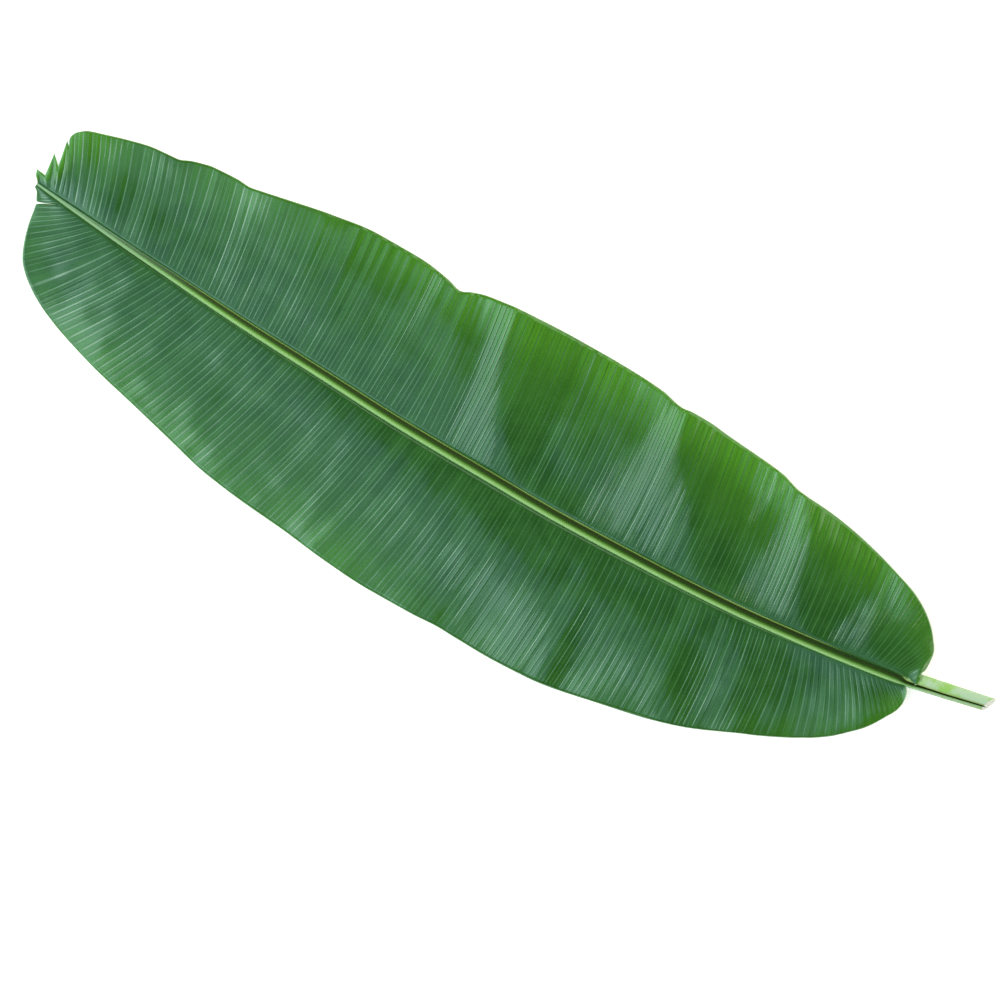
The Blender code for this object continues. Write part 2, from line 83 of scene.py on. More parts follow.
rightHalf = {
    "name": "bladeRight",
    "rim": 4,                   # its column in the sections
    "seed": 11,
    # where the vein leaves the midrib (x), where it ends (x, y)
    "edge": ((-538, -538.6, -24.6), (-536.6, -541.4, -28.8), (-534.6, -541.2, -34.3),
             (-532, -539.6, -39.9), (-529, -541.6, -45.3), (-525.5, -542.0, -53.0),
             (-521.5, -541.0, -64.5), (-512, -533.0, -79.5), (-503, -523.0, -91.5),
             (-491, -507.0, -104.5), (-480, -489.0, -114.5), (-465, -467.0, -122.5),
             (-443, -435.0, -133.0), (-409.5, -394.3, -142.9), (-382, -363.0, -147.8),
             (-352, -334.0, -150.2), (-343, -324.0, -151.6), (-320, -300.0, -159.0),
             (-283, -268.0, -163.2), (-262, -247.0, -165.2), (-240, -224.0, -167.6),
             (-215, -201.0, -170.2), (-190, -180.0, -170.6), (-180, -169.0, -169.4),
             (-150, -140.0, -175.4), (-118, -106.0, -178.4), (-96.4, -83.1, -179.4), (-85, -71.0, -179.8),
             (-35, -22.0, -180.2), (14, 24.0, -178.8), (36, 48.0, -177.6), (43, 55.0, -176.8),
             (66, 82.0, -173.4), (92, 97.0, -169.0), (110, 109.5, -164.2), (128, 127.0, -169.0),
             (163, 165.0, -174.8), (216.7, 221.0, -175.8), (263, 273.0, -169.8), (312, 328.0, -159.7),
             (335, 353.0, -155.0), (348, 369.0, -152.6), (362, 383.0, -153.8), (395, 413.0, -152.7),
             (411, 437.0, -147.2), (425, 452.0, -141.6), (440, 467.0, -140.7), (458, 483.0, -139.4),
             (479, 508.0, -134.1), (506, 537.0, -126.0), (522, 553.5, -120.8), (530, 561.0, -115.8),
             (536, 565.5, -111.0), (540, 567.4, -104.6), (545, 563.6, -95.6), (549, 568.8, -100.9),
             (553, 563.6, -70.8), (558, 574.4, -81.6), (563, 571.6, -55.2), (567, 582.8, -57.0),
             (571, 581.0, -50.8), (575, 576.6, -45.8)),
    # height of the underside at the edge: where the vein leaves the midrib (x), height
    "waves": ((-538, 18.5), (-534.6, 17.5), (-521.5, 10.0), (-512, 8.0), (-480, edgeCrest),
              (-440, edgeHollow), (-400, edgeHollow), (-350, edgeCrest), (-325, edgeSwell),
              (-250, edgeHollow), (-182, edgeSwell), (-96.4, 0.0), (-30, edgeHollow), (38, edgeCrest),
              (75, edgeSag), (108, edgeSwell), (165, edgeHollow), (250, edgeHollow), (315, edgeSwell),
              (370, edgeHollow), (470, edgeHollow), (506, 3.5), (530, 5.5), (540, 5.0), (545, 4.0),
              (549, 5.0), (553, 4.0), (558, 5.0), (563, 3.5), (567, 4.5), (571, 3.5), (575, 1.5)),
    # height of the upper face at each of the places in leafForm: curves through x, height
    "relief": (((-538, 18.5), (-530, 18.0), (-520, 17.0), (-503, 16.5), (-460, 15.5), (-430, 12.5),
                (-388, 16.0), (-318, 9.5), (-240, 16.5), (-120, 8.5), (-60, 9.5), (-8, 16.0), (50, 12.0),
                (165, 9.5), (235, 9.0), (310, 7.5), (370, 5.0), (460, 4.0), (510, 4.5), (545, 3.5),
                (575, 3.0)),
              ((-538, 19.0), (-530, 18.5), (-525, 18.0), (-520, 15.5), (-503, 13.5), (-464, 13.0),
               (-440, 9.0), (-380, 14.0), (-328, 8.0), (-236, 16.5), (-130, 7.5), (-60, 8.5), (10, 16.5),
               (50, 11.5), (98, 10.5), (165, 9.0), (235, 10.5), (310, 7.0), (370, 2.5), (460, 2.0),
               (510, 4.0), (545, 4.0), (575, 3.5)),
              ((-538, 19.0), (-530, 18.5), (-525, 17.5), (-520, 13.5), (-503, 11.0), (-488, 12.0),
               (-452, 8.0), (-375, 11.5), (-333, 7.0), (-300, 7.0), (-190, 11.5), (-150, 5.5), (-90, 5.5),
               (28, 11.5), (54, 8.0), (98, 9.5), (165, 7.5), (235, 7.0), (310, 4.0), (370, 2.0),
               (460, 1.5), (500, 2.5), (535, 5.0), (575, 4.5))),
    # from one side vein to the next along the midrib: x, distance
    "veinSpacing": ((-538, 1.8), (-524, 2.4), (-512, 3.6), (-490, 5.6), (-450, 6.3), (-350, 6.4),
                    (-250, 7.0), (-150, 8.2), (-50, 8.6), (50, 9.4), (150, 10.0), (350, 10.4), (450, 10.6),
                    (520, 9.0), (545, 6.0), (575, 3.5)),
    # height of the swelling between two veins: x, near the midrib, near the edge
    "swelling": ((-538, 0.10, 0.15), (-400, 0.10, 0.16), (0, 0.08, 0.14), (300, 0.10, 0.16),
                 (450, 0.18, 0.20), (575, 0.24, 0.24)),
    # where the strips between the veins lean: fall in leanSpan across (more than 0 where it faces the
    # tip), then share of the way out, from x, to x
    "leans": ((0.7, ((0.0, -468, -428), (0.42, -468, -442), (0.7, -492, -455), (1.0, -503, -458))),
              (0.6, ((0.0, -392, -312), (0.42, -380, -328), (0.7, -374, -336), (1.0, -362, -346))),
              (0.65, ((0.6, -306, -297), (0.8, -322, -304), (1.0, -336, -322))),
              (0.62, ((0.0, -242, -122), (0.42, -236, -132), (0.55, -216, -142), (0.7, -192, -152),
                     (1.0, -183, -170))),
              (0.62, ((0.0, -20, 40), (0.18, -6, 46), (0.42, 12, 47), (0.7, 28, 50), (1.0, 33, 50))),
              (0.25, ((0.0, 118, 138), (0.42, 125, 142), (0.7, 127, 148), (1.0, 130, 150))),
              (-0.1, ((0.0, -428, -396), (0.42, -444, -384), (0.7, -452, -378), (1.0, -455, -366))),
              (-0.1, ((0.0, -308, -246), (0.42, -324, -240), (0.7, -296, -196), (1.0, -318, -187))),
              (-0.1, ((0.0, -118, -24), (0.42, -128, 8), (0.7, -148, 24), (1.0, -166, 29))),
              (-0.2, ((0.6, 510, 560), (0.8, 492, 580), (1.0, 470, 580)))),
    # share of the ripples' height: x, share
    "rippling": ((-538, 1.0), (220, 0.9), (300, 0.35), (575, 0.3)),
    # how yellow the outer part of the blade is: x, amount
    "yellowing": ((-538, 0.55), (-500, 0.35), (-420, 0.75), (-300, 0.85), (-100, 0.80), (60, 0.65),
                  (200, 0.45), (350, 0.30), (450, 0.20), (490, 0.50), (520, 0.85), (575, 0.9)),
}

leftHalf = {
    "name": "bladeLeft",
    "rim": 5,
    "seed": 23,
    "edge": ((-530, -531.8, -18.0), (-527, -535.4, -13.0), (-522.5, -537.0, -6.5), (-516, -537.4, -1.0),
             (-510, -536.0, 6.8), (-495, -527.8, 22.0), (-482, -519.6, 35.2), (-473, -511.6, 45.2),
             (-463, -502.4, 54.2), (-447, -486.4, 68.8), (-433, -468.4, 81.0), (-425.2, -458.8, 86.2),
             (-417, -449.0, 91.6), (-395, -411.0, 109.0), (-382, -396.0, 114.8), (-362, -376.0, 123.4),
             (-345, -360.0, 130.4), (-325, -339.0, 138.4), (-305, -317.0, 145.0), (-283, -293.0, 151.2),
             (-234, -238.0, 161.8), (-200, -198.0, 169.6), (-184, -180.0, 172.2), (-165, -160.0, 174.0),
             (-120, -113.0, 175.2), (-80.8, -69.6, 173.7), (-60, -46.0, 172.5), (-35, -15.0, 173.6),
             (14, 40.0, 173.2), (64, 98.0, 168.4), (114, 153.0, 161.2), (163, 209.0, 155.2),
             (213, 262.0, 147.0), (263, 310.0, 134.4), (312, 365.0, 119.8), (362, 420.0, 105.6),
             (407, 478.0, 86.4), (420.2, 490.7, 81.0), (433, 502.4, 75.6), (455, 519.6, 65.6),
             (466, 538.6, 50.6), (482, 548.2, 39.2), (497, 556.2, 21.2), (516, 562.2, -1.0),
             (530, 564.3, -15.0), (536, 565.4, -22.2), (540, 545.0, -32.8), (545, 565.6, -25.4),
             (553, 568.6, -29.2), (563, 571.8, -35.2), (571, 575.2, -38.2), (575, 576.2, -39.4)),
    "waves": ((-530, 14.5), (-516, 11.5), (-480, edgeCrest), (-425.2, 0.0), (-370, edgeCrest),
              (-342, edgeSwell), (-305, edgeCrest), (-280, edgeSwell), (-235, edgeCrest),
              (-200, edgeSag), (-182, edgeCrest), (-85, edgeSag), (-32, edgeCrest), (20, edgeSwell),
              (68, edgeCrest), (114, edgeSag), (185, edgeSwell), (263, edgeSag), (345, edgeSag),
              (420.2, 0.0), (468, edgeSag), (497, edgeSag), (520, edgeHollow), (545, 1.0), (575, 1.0)),
    "relief": (((-530, 14.0), (-500, 14.0), (-425, 10.0), (-368, 15.0), (-280, 16.0), (-40, 17.0),
                (90, 14.5), (200, 11.0), (300, 8.5), (440, 6.0), (500, 4.0), (575, 2.0)),
              ((-530, 14.5), (-520, 13.0), (-485, 14.5), (-415, 9.0), (-350, 16.0), (-326, 15.0),
               (-265, 18.5), (-75, 19.5), (90, 14.5), (200, 9.5), (300, 8.0), (380, 8.0), (440, 6.5),
               (500, 4.5), (545, 2.5), (575, 2.0)),
              ((-530, 14.5), (-520, 13.0), (-485, 15.5), (-415, 7.5), (-350, 13.5), (-326, 12.0),
               (-280, 18.5), (-202, 13.5), (-170, 18.5), (-75, 11.5), (90, 11.5), (200, 9.5), (300, 8.5),
               (380, 7.0), (440, 5.0), (500, 4.0), (545, 2.0), (575, 1.5))),
    "veinSpacing": ((-530, 2.4), (-515, 3.6), (-490, 6.0), (-450, 7.6), (-350, 8.6), (-250, 7.2),
                    (-150, 8.6), (-50, 9.8), (150, 9.8), (220, 7.4), (450, 6.8), (520, 6.0), (545, 4.6),
                    (575, 3.0)),
    "swelling": ((-530, 0.10, 0.12), (-480, 0.22, 0.28), (-380, 0.15, 0.24), (-300, 0.12, 0.22),
                 (-100, 0.14, 0.22), (200, 0.10, 0.14), (575, 0.14, 0.14)),
    "leans": ((0.15, ((0.0, -530, -420), (0.5, -530, -410), (1.0, -530, -404))),
              (-0.2, ((0.0, -405, -300), (0.4, -402, -352), (1.0, -400, -352))),
              (0.5, ((0.25, -330, -325), (0.5, -340, -325), (1.0, -348, -333))),
              (-0.4, ((0.4, -322, -300), (1.0, -329, -306))),
              (0.35, ((0.42, -240, -195), (0.7, -290, -198), (1.0, -302, -200))),
              (-0.4, ((0.42, -188, -172), (0.7, -192, -178), (1.0, -198, -180))),
              (0.35, ((0.42, -120, -60), (0.55, -150, -20), (0.8, -172, -60), (1.0, -176, -95)))),
    "rippling": ((-530, 0.6), (-420, 1.0), (200, 0.9), (300, 0.5), (575, 0.4)),
    "yellowing": ((-530, 0.45), (-480, 0.35), (-300, 0.12), (-50, 0.15), (80, 0.35), (360, 0.35),
                  (450, 0.12), (575, 0.15)),
}


def smoothCurve(points, xs, column=1):
    # values at xs of a smooth curve through the points, which never swings past them
    table = np.array(points, float)
    knots, values = table[:, 0], table[:, column]
    slopes = np.diff(values) / np.diff(knots)
    before, after = slopes[:-1], slopes[1:]
    turning = before * after <= 0.0
    inner = np.where(turning, 0.0, 2.0 * before * after / np.where(turning, 1.0, before + after))
    tangents = np.concatenate(([slopes[0]], inner, [slopes[-1]]))
    xs = np.clip(np.asarray(xs, float), knots[0], knots[-1])
    i = np.clip(np.searchsorted(knots, xs) - 1, 0, len(knots) - 2)
    width = knots[i + 1] - knots[i]
    t = (xs - knots[i]) / width
    start = values[i] * (1 + 2 * t) * (1 - t) ** 2 + tangents[i] * width * t * (1 - t) ** 2
    end = values[i + 1] * t * t * (3 - 2 * t) + tangents[i + 1] * width * t * t * (t - 1)
    return start + end


def smoothStep(low, high, values):
    t = np.clip((values - low) / (high - low), 0.0, 1.0)
    return t * t * (3 - 2 * t)


def softWaves(x, y, shortest, longest, count, seed):
    # gentle uneven swell, made of a few sine waves in random directions, about -1 to 1
    rng = np.random.default_rng(seed)
    total = np.zeros(np.broadcast(x, y).shape)
    for _ in range(count):
        wavelength = rng.uniform(shortest, longest)
        direction = rng.uniform(0.0, math.pi)
        phase = rng.uniform(0.0, 2 * math.pi)
        along = x * math.cos(direction) + y * math.sin(direction)
        total += np.sin(2 * math.pi * along / wavelength + phase)
    return total / math.sqrt(count)


def newPiece(name, bm):
    mesh = bpy.data.meshes.new(name)
    bm.to_mesh(mesh)
    bm.free()
    piece = bpy.data.objects.new(name, mesh)
    bpy.context.scene.collection.objects.link(piece)
    return piece


def gridPiece(name, points, attributes):
    # a grid of quads, moved to the points, with a number at each point for every attribute
    columns, rows = points.shape[:2]
    bm = bmesh.new()
    bmesh.ops.create_grid(bm, x_segments=columns - 1, y_segments=rows - 1, size=1.0)
    layers = {key: bm.verts.layers.float.new(key) for key in attributes}
    for vert in bm.verts:
        i = round((vert.co.x + 1) / 2 * (columns - 1))
        j = round((vert.co.y + 1) / 2 * (rows - 1))
        vert.co = points[i, j] * mm
        for key, layer in layers.items():
            vert[layer] = attributes[key][i, j]
    bm.normal_update()
    if sum(face.normal.z for face in bm.faces) < 0:
        bmesh.ops.reverse_faces(bm, faces=bm.faces[:])
    piece = newPiece(name, bm)
    piece.data.shade_smooth()
    return piece


# blade

bladeFinish = {
    "thickness": 0.5,
    "stepsPerVein": (0.0, 0.10, 0.25, 0.36, 0.43, 0.47, 0.50, 0.60, 0.75, 0.86, 0.93, 0.97),
    # a leaning strip across, two of which lie between a vein and the next: place, share of the lean
    "leanProfile": ((0.0, 0.40), (0.86, -0.46), (0.94, 0.46), (1.0, 0.40)),
    "leanSpan": 6.0,            # the leans of a half are given as the fall in this much across
    "leanSoft": 3.0,            # how gradually the strips come to lean, along the midrib
    "leanSoftOut": 0.08,        # the same on the way out, as a share of it
    "leanUneven": 0.55,         # how unevenly they lean
    "leanByChance": 0.10,       # and how much every strip of the blade leans by chance
    "chancesOut": 5,            # places on the way out where a strip's chance is drawn
    "rowsOut": 25,
    "rowsCloser": 0.06,         # how much closer the rows stand at the midrib and the edge
    "wholeLength": 30.0,        # a vein this long has whole swellings and ripples, a shorter one less
    "spacingUneven": 0.13,      # how uneven the side veins' spacing is
    "swellingStart": 12.0,      # how far from the midrib the swellings between the veins are whole
    "swellingRound": 0.8,       # less than 1 for a fuller swelling than a plain arch
    "edgeFlat": (0.90, 0.55),   # from this share of the way out they lose up to this share of height
    "veinRidge": 0.06,          # height of the fine ridge along a side vein
    "halfwayRidge": 0.6,        # share of it on the weaker vein halfway to the next
    "veinRidgeWidth": 0.10,     # its half width, as a share of the spacing
    "rippleHeight": 0.38,       # short ripples at the edge, which fade on the way in
    "rippleFade": 3,            # power of the way out that they fade with
    "rippleShortest": 11.0,
    "rippleLongest": 34.0,
    "rippleCount": 14,
    "swellHeight": 0.32,        # uneven swell all over the blade
    "swellStart": 0.25,         # share of the way out where it is whole
    "swellShortest": 26.0,
    "swellLongest": 70.0,
    "swellCount": 16,
    "rootSink": 0.35,           # the blade starts this far below the rim of the midrib
    "rootRise": 1.5,            # and is up again this far out
    "clearance": 0.05,          # the underside never comes closer to the ground
    "yellowStart": 0.15,        # share of the way out where the yellowing sets in
}


def veinRoots(half):
    # where each side vein leaves the midrib
    rng = np.random.default_rng(half["seed"])
    first, last = half["edge"][0][0], half["edge"][-1][0]
    roots = [float(first)]
    while roots[-1] < last:
        step = float(smoothCurve(half["veinSpacing"], roots[-1]))
        roots.append(roots[-1] + step * (1 + bladeFinish["spacingUneven"] * rng.uniform(-1.0, 1.0)))
    roots[-1] = float(last)
    return np.array(roots)


def bladeColumns(half):
    # columns of the grid: vein number and place along the midrib
    roots = veinRoots(half)
    numbers = [k + step for k in range(len(roots) - 1) for step in bladeFinish["stepsPerVein"]]
    numbers = np.array(numbers + [len(roots) - 1.0])
    return numbers, np.interp(numbers, np.arange(len(roots)), roots)


def evenCurve(places, at):
    # share of each given height in the height at a point, on the curve that bends most evenly
    places = np.array(places, float)
    steps = np.diff(places)
    identity = np.eye(len(places))
    slopes = np.diff(identity, axis=0) / steps[:, None]
    beside = np.diag(steps[1:-1], 1) + np.diag(steps[1:-1], -1)
    system = np.diag(2 * (steps[:-1] + steps[1:])) + beside
    bends = np.zeros_like(identity)
    bends[1:-1] = np.linalg.solve(system, 6 * np.diff(slopes, axis=0))
    i = np.clip(np.searchsorted(places, at) - 1, 0, len(steps) - 1)
    before, after, step = (v[:, None] for v in (at - places[i], places[i + 1] - at, steps[i]))
    bent = bends[i] * (after ** 3 / step - after * step)
    bent += bends[i + 1] * (before ** 3 / step - before * step)
    return (identity[i] * after + identity[i + 1] * before) / step + bent / 6


def midribSection(x):
    # line, centre, half width and half height of the midrib
    line = smoothCurve(leafForm["midribLine"], x)
    offset, halfWidth, height = (smoothCurve(leafForm["sections"], x, c) for c in (1, 2, 3))
    return line, line + offset, halfWidth, height / 2


def rimPlace(x, rim):
    # y and z of a rim of the midrib's channel
    line, centre, halfWidth, halfHeight = midribSection(x)
    y = line + smoothCurve(leafForm["sections"], x, rim)
    z = halfHeight + halfHeight * np.sqrt(np.clip(1 - ((y - centre) / halfWidth) ** 2, 0.0, 1.0))
    return y, z


def stripLean(half, numbers, middle, out):
    # how far each strip leans at each share of the way out
    total = np.zeros((len(middle), out.shape[1]))
    soft = bladeFinish["leanSoft"]
    for amount, rows in half["leans"]:
        places, first, last = np.array(rows, float).T
        first, last = np.interp(out, places, first), np.interp(out, places, last)
        begun = smoothStep(first - soft, first + soft, middle)
        ended = smoothStep(last - soft, last + soft, middle)
        farEnough = smoothStep(places[0] - bladeFinish["leanSoftOut"], places[0], out)
        total += amount * (begun * (1 - ended)) * farEnough
    # each strip has its own chance, which changes a little on the way out
    rng = np.random.default_rng(half["seed"] + 3)
    strip = np.floor(2 * numbers).astype(int)
    count = bladeFinish["chancesOut"]
    chances = rng.uniform(-1.0, 1.0, (strip.max() + 1, count))[strip[:, 0]]
    chance = np.stack([np.interp(out[0], np.linspace(0.0, 1.0, count), row) for row in chances])
    return total * (1 + bladeFinish["leanUneven"] * chance) + bladeFinish["leanByChance"] * chance


def bladeSheet(half):
    numbers, x = bladeColumns(half)
    middle = np.interp(np.floor(2 * numbers) / 2 + 0.25, numbers, x)[:, None]
    numbers, x = numbers[:, None], x[:, None]
    rows = np.linspace(0.0, 1.0, bladeFinish["rowsOut"])
    out = (rows - bladeFinish["rowsCloser"] * np.sin(2 * math.pi * rows))[None, :]

    rootY, rootZ = rimPlace(x, half["rim"])
    edgeX, edgeY = (smoothCurve(half["edge"], x, c) for c in (1, 2))
    edgeZ = smoothCurve(half["waves"], x)
    length = np.hypot(edgeX - x, edgeY - rootY)
    reach = np.abs(edgeY - rootY)
    fullness = np.minimum(1.0, reach / leafForm["fullReach"])
    shortness = np.minimum(1.0, length / bladeFinish["wholeLength"])

    placeX = x + (edgeX - x) * out - leafForm["veinBow"] * fullness * np.sin(math.pi * out)
    placeY = rootY + (edgeY - rootY) * out
    relief = [smoothCurve(curve, x) for curve in half["relief"]]
    heights = np.concatenate([rootZ, *relief, edgeZ + leafForm["bladeThickness"]], axis=1)
    placeZ = heights @ evenCurve((0.0, *leafForm["reliefPlaces"], 1.0), out[0]).T

    # the blade swells up between the veins, which lie in fine furrows
    share = numbers % 1.0
    near, far = smoothCurve(half["swelling"], x, 1), smoothCurve(half["swelling"], x, 2)
    swelling = near + (far - near) * out
    start = smoothStep(0.0, bladeFinish["swellingStart"], out * length)
    flatFrom, flatShare = bladeFinish["edgeFlat"]
    fade = 1.0 - flatShare * smoothStep(flatFrom, 1.0, out)
    arch = (4 * share * (1 - share)) ** bladeFinish["swellingRound"]
    placeZ = placeZ + swelling * arch * start * fade * shortness
    fromVein = np.minimum(share, 1 - share) / bladeFinish["veinRidgeWidth"]
    fromHalfway = (share - 0.5) / bladeFinish["veinRidgeWidth"]
    ridge = np.exp(-fromVein ** 2) + bladeFinish["halfwayRidge"] * np.exp(-fromHalfway ** 2)
    placeZ = placeZ + bladeFinish["veinRidge"] * ridge * start * fade * shortness

    # strips that lean to the tip or the stalk
    spacing = smoothCurve(half["veinSpacing"], x)
    profile = np.interp(2 * share % 1.0, *np.array(bladeFinish["leanProfile"]).T)
    profile = profile * spacing / 2 / bladeFinish["leanSpan"]
    placeZ = placeZ + stripLean(half, numbers, middle, out) * profile * start * shortness

    # ripples at the edge and an uneven swell
    ripples = softWaves(x, 0 * x, bladeFinish["rippleShortest"], bladeFinish["rippleLongest"],
                        bladeFinish["rippleCount"], half["seed"] + 1)
    ripples = ripples * bladeFinish["rippleHeight"] * smoothCurve(half["rippling"], x)
    placeZ = placeZ + ripples * out ** bladeFinish["rippleFade"] * shortness
    swell = softWaves(placeX, placeY, bladeFinish["swellShortest"], bladeFinish["swellLongest"],
                      bladeFinish["swellCount"], half["seed"] + 2)
    swell = bladeFinish["swellHeight"] * swell * smoothStep(0.0, bladeFinish["swellStart"], out)
    placeZ = placeZ + swell * shortness

    risen = smoothStep(0.0, bladeFinish["rootRise"], out * length)
    placeZ = placeZ - bladeFinish["rootSink"] * (1 - risen)
    placeZ = np.maximum(placeZ, bladeFinish["thickness"] + bladeFinish["clearance"])

    points = np.stack(np.broadcast_arrays(placeX, placeY, placeZ), axis=-1)
    spread = np.ones_like(placeX)
    attributes = {
        "vein": numbers * spread,
        "fromRib": out * length,
        "fromEdge": (1 - out) * length,
        "yellowing": smoothCurve(half["yellowing"], x) * smoothStep(bladeFinish["yellowStart"], 1.0, out),
        "spacing": spacing * spread,
    }
    piece = gridPiece(half["name"], points, attributes)
    wall = piece.modifiers.new("wall", "SOLIDIFY")
    wall.thickness = bladeFinish["thickness"] * mm
    wall.offset = -1.0
    wall.material_offset = 1
    wall.material_offset_rim = 2
    return piece


# midrib and stalk

midribFinish = {
    "first": -619.5,
    "last": 575.5,
    "stations": 620,            # rings along it
    "underPoints": 22,          # points of a ring on the underside
    # across the top from the right rim (0) to the left rim (1): place, share of the channel's depth
    "channel": ((0.0, 0.0), (0.04, 0.12), (0.10, 0.50), (0.20, 0.93), (0.30, 1.0), (0.40, 0.93),
                (0.52, 0.64), (0.66, 0.36), (0.82, 0.12), (0.94, 0.0), (1.0, 0.0)),
    "across": (0.0, 0.03, 0.06, 0.10, 0.15, 0.20, 0.25, 0.30, 0.36, 0.42, 0.48, 0.55, 0.62, 0.70, 0.78,
               0.86, 0.93, 0.97, 1.0),
    "lip": 0.35,                # how far the rims stand above the blade
    "lipWidths": (0.05, 0.08),  # width of the right and the left rim, as shares of the top
    "slotDepth": 3.0,           # the channel's colours are whole where it is this deep
    # half width of the midrib's pale band: x, half width
    "paleHalf": ((330, 4.6), (460, 3.2), (520, 2.0), (560, 1.2), (576, 1.0)),
    "paleSoft": (-0.3, 0.5),    # its border: from and to, counted from there outwards
    "greenTip": (330.0, 430.0),  # x where both sides of the band turn green
    # the green right rim at the base: x where it sets in and where it ends, then y
    "greenBase": ((-545.0, -538.0), (-470.0, -380.0), (-3.4, -4.2)),
    "cutSkew": 0.38,            # the stalk's cut runs back by this much for each mm across it
    "cutSlope": 0.40,           # and by this much for each mm of height
    "cutReach": 45.0,           # length of stalk over which the cut is taken up
    "cutLevel": 9.0,            # height on the cut that keeps its place
    "sharpFrom": 50.0,          # folds sharper than this many degrees stay sharp
}


def midribTube():
    x = np.linspace(midribFinish["first"], midribFinish["last"], midribFinish["stations"])[:, None]
    line, centre, halfWidth, halfHeight = midribSection(x)
    depth = smoothCurve(leafForm["sections"], x, 6)
    rightY, rightZ = rimPlace(x, rightHalf["rim"])
    leftY, leftZ = rimPlace(x, leftHalf["rim"])

    across = np.array(midribFinish["across"])[None, :]
    sunk = smoothCurve(midribFinish["channel"], across)
    topY = rightY + (leftY - rightY) * across
    rightLip, leftLip = midribFinish["lipWidths"]
    rims = np.exp(-(across / rightLip) ** 2) + np.exp(-((1 - across) / leftLip) ** 2)
    topZ = rightZ + (leftZ - rightZ) * across - depth * sunk + midribFinish["lip"] * rims

    # round underside, from the left rim down and back up to the right rim
    startAngle = np.arccos(np.clip((leftY - centre) / halfWidth, -1, 1))
    endAngle = np.arccos(np.clip((rightY - centre) / halfWidth, -1, 1))
    turn = np.linspace(0.0, 1.0, midribFinish["underPoints"] + 2)[None, 1:-1]
    angle = startAngle - turn * (startAngle + 2 * math.pi - endAngle)
    underY = centre + halfWidth * np.cos(angle)
    underZ = np.maximum(halfHeight + halfHeight * np.sin(angle), smoothCurve(leafForm["keel"], x))

    y = np.concatenate((topY, underY), axis=1)
    z = np.concatenate((topZ, underZ), axis=1)
    ring = y.shape[1]
    cut = np.maximum(0.0, 1.0 - (x - midribFinish["first"]) / midribFinish["cutReach"])
    skew = midribFinish["cutSkew"] * (y - line) + midribFinish["cutSlope"] * (z - midribFinish["cutLevel"])
    placeX = x + cut * skew

    inSlot = np.zeros((len(x), ring))
    inSlot[:, :across.shape[1]] = sunk * np.minimum(1.0, depth / midribFinish["slotDepth"])
    onTop = np.zeros((len(x), ring))
    onTop[:, :across.shape[1]] = 1.0
    # on the underside this is 1 on the left half and 0 on the right one
    acrossTop = np.zeros((len(x), ring))
    acrossTop[:, :across.shape[1] + midribFinish["underPoints"] // 2] = 1.0
    acrossTop[:, :across.shape[1]] = across
    points = np.stack(np.broadcast_arrays(placeX, y, z), axis=-1)
    # towards the tip only a narrow pale line is left, and at the base the right rim is green
    half = smoothCurve(midribFinish["paleHalf"], x)
    inwards, outwards = midribFinish["paleSoft"]
    besideBand = smoothStep(half + inwards, half + outwards, np.abs(y - line))
    tipGreen = besideBand * smoothStep(*midribFinish["greenTip"], x)
    setsIn, ends, sideways = midribFinish["greenBase"]
    baseGreen = (1 - smoothStep(*ends, x)) * smoothStep(*setsIn, x) * smoothStep(*sideways, y - line)
    return points, {"inSlot": inSlot, "onTop": onTop, "acrossTop": acrossTop,
                    "green": np.maximum(tipGreen, baseGreen), "along": x + 0 * y}


def endFace(bm, ring):
    # closes the tube across one of its rings
    corners = set(ring)
    around = [e for e in bm.edges if all(v in corners for v in e.verts)]
    return bmesh.ops.contextual_create(bm, geom=around)["faces"]


def midribPiece():
    points, attributes = midribTube()
    columns, ring = points.shape[:2]
    bm = bmesh.new()
    layers = {key: bm.verts.layers.float.new(key) for key in attributes}
    firstRing = bmesh.ops.create_circle(bm, segments=ring, radius=1.0)["verts"]
    rings = [firstRing]
    edges = bm.edges[:]
    for _ in range(columns - 1):
        extruded = bmesh.ops.extrude_edge_only(bm, edges=edges)["geom"]
        edges = [g for g in extruded if isinstance(g, bmesh.types.BMEdge)]
        lookup = {}
        for g in extruded:
            if isinstance(g, bmesh.types.BMVert):
                lookup[(round(g.co.x, 5), round(g.co.y, 5))] = g
        rings.append([lookup[(round(v.co.x, 5), round(v.co.y, 5))] for v in firstRing])
    for i, verts in enumerate(rings):
        for j, vert in enumerate(verts):
            vert.co = points[i, j] * mm
            for key, layer in layers.items():
                vert[layer] = attributes[key][i, j]
    bm.normal_update()
    ends = endFace(bm, rings[0]) + endFace(bm, rings[-1])
    for face in ends:
        face.material_index = 1
    bm.normal_update()
    bmesh.ops.triangulate(bm, faces=ends)
    bmesh.ops.recalc_face_normals(bm, faces=bm.faces[:])
    piece = newPiece("midrib", bm)
    piece.data.shade_smooth()
    piece.data.set_sharp_from_angle(angle=math.radians(midribFinish["sharpFrom"]))
    return piece


# nodes

def addNode(tree, kind, **values):
    # a node with its settings, and with plain inputs named as in the editor
    node = tree.nodes.new(kind)
    for key, value in values.items():
        if hasattr(node, key):
            setattr(node, key, value)
        else:
            node.inputs[key.replace("_", " ")].default_value = value
    return node


def readAttribute(tree, name):
    return addNode(tree, "ShaderNodeAttribute", attribute_name=name).outputs["Fac"]


def feed(tree, socket, value):
    # links another node's output to the socket, or sets the socket to a number or a colour
    if isinstance(value, bpy.types.NodeSocket):
        tree.links.new(value, socket)
    elif isinstance(value, tuple):
        socket.default_value = (*value, 1.0)
    else:
        socket.default_value = value


def mathStep(tree, operation, *values, clamp=False):
    node = addNode(tree, "ShaderNodeMath", operation=operation, use_clamp=clamp)
    for socket, value in zip(node.inputs, values):
        feed(tree, socket, value)
    return node.outputs[0]


